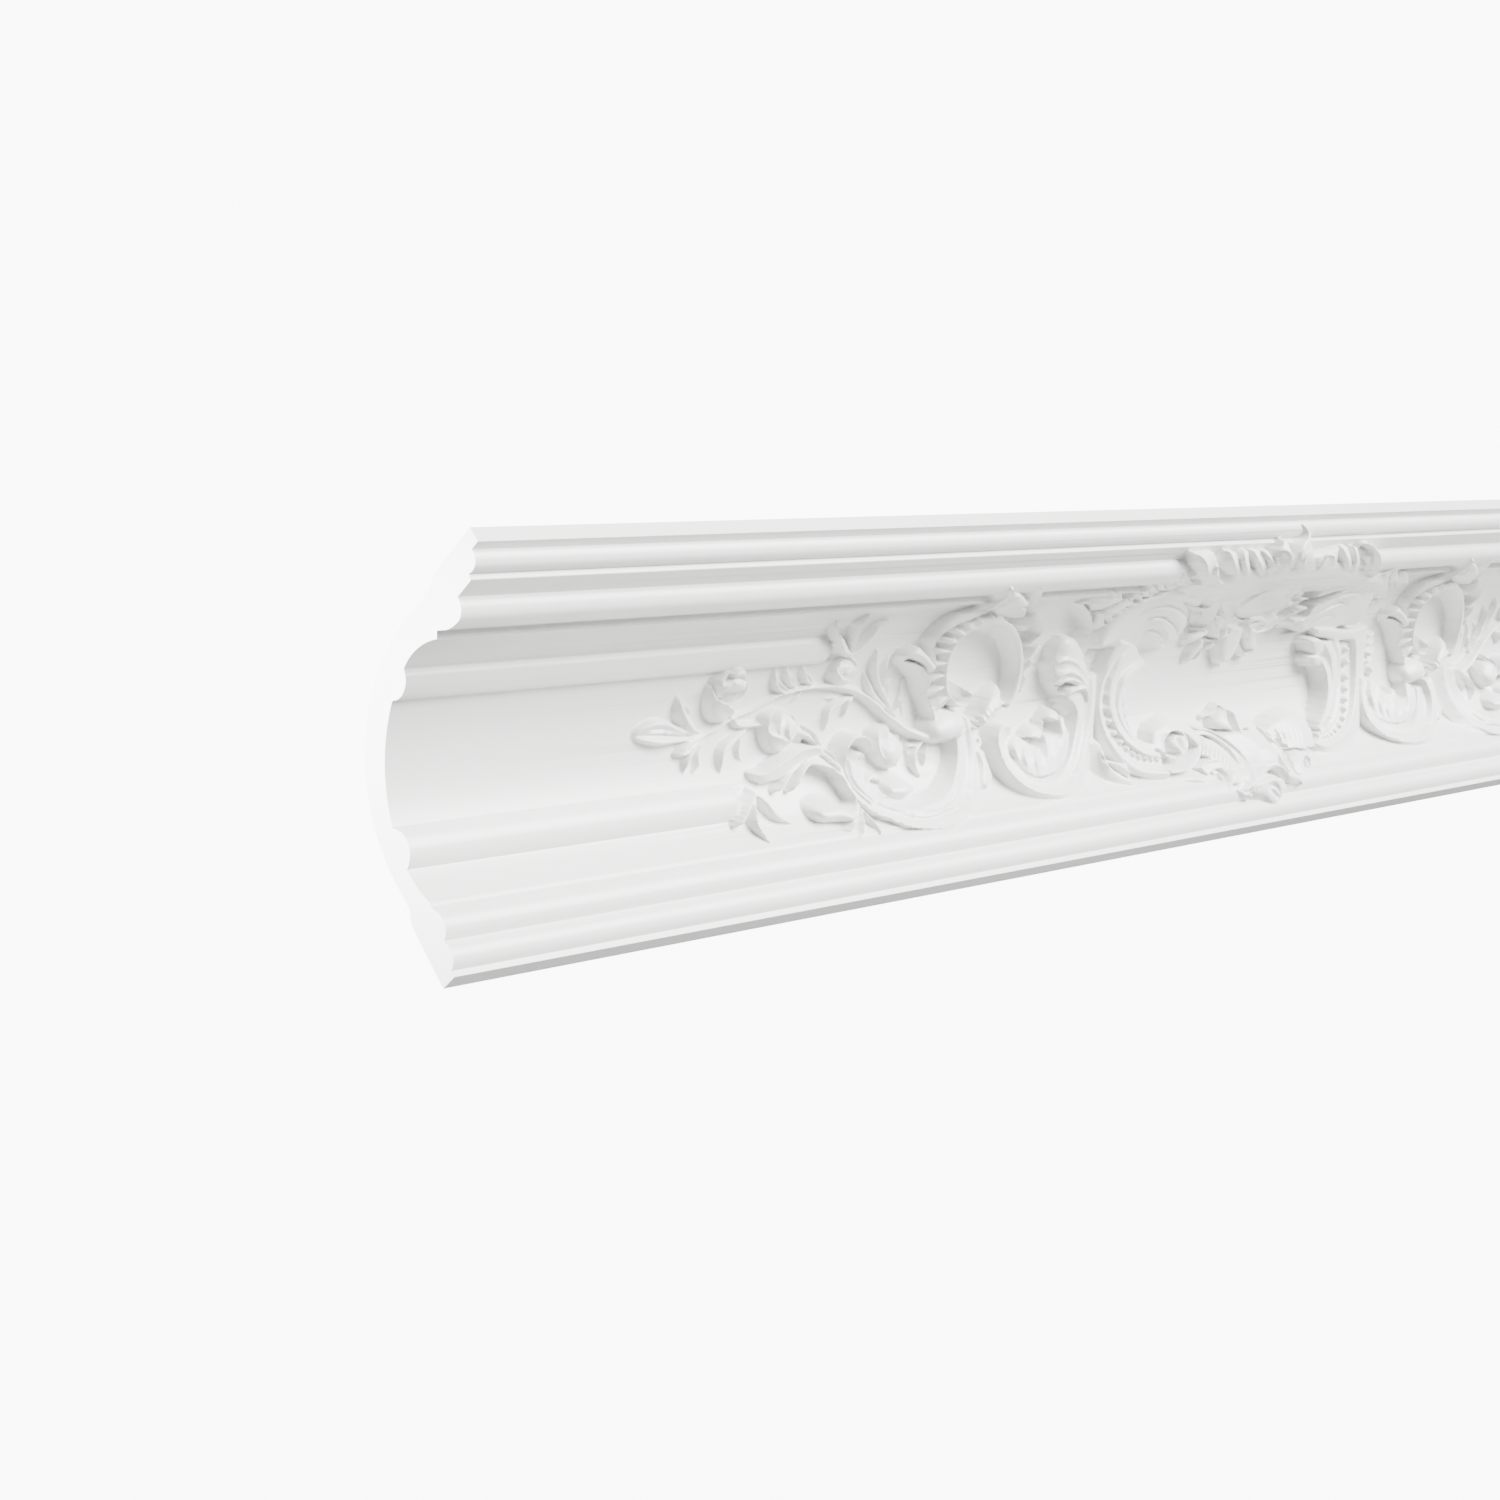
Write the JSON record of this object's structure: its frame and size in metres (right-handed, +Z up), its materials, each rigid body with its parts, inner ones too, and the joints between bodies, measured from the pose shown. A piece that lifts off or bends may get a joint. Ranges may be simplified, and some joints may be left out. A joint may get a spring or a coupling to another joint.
{
  "type": "cornice moulding",
  "caption": "Cast cornice length with a hollow coved back, stepped and beaded mouldings and a rocaille frieze of roses, acanthus, ribbed channels and a shell cartouche along the cove.",
  "frame": {"origin": "middle of the face that is glued to the wall, halfway along the length", "axes": "+X along the length, to the right of someone who faces the wall; +Y into the wall; +Z up to the ceiling"},
  "size_m": [1, 0.11, 0.106],
  "materials": {
    "primed_polyurethane": "factory primer, matt to satin"
  },
  "bodies": {
    "root": {"cornice_moulding": "primed_polyurethane"}
  },
  "joints": []
}
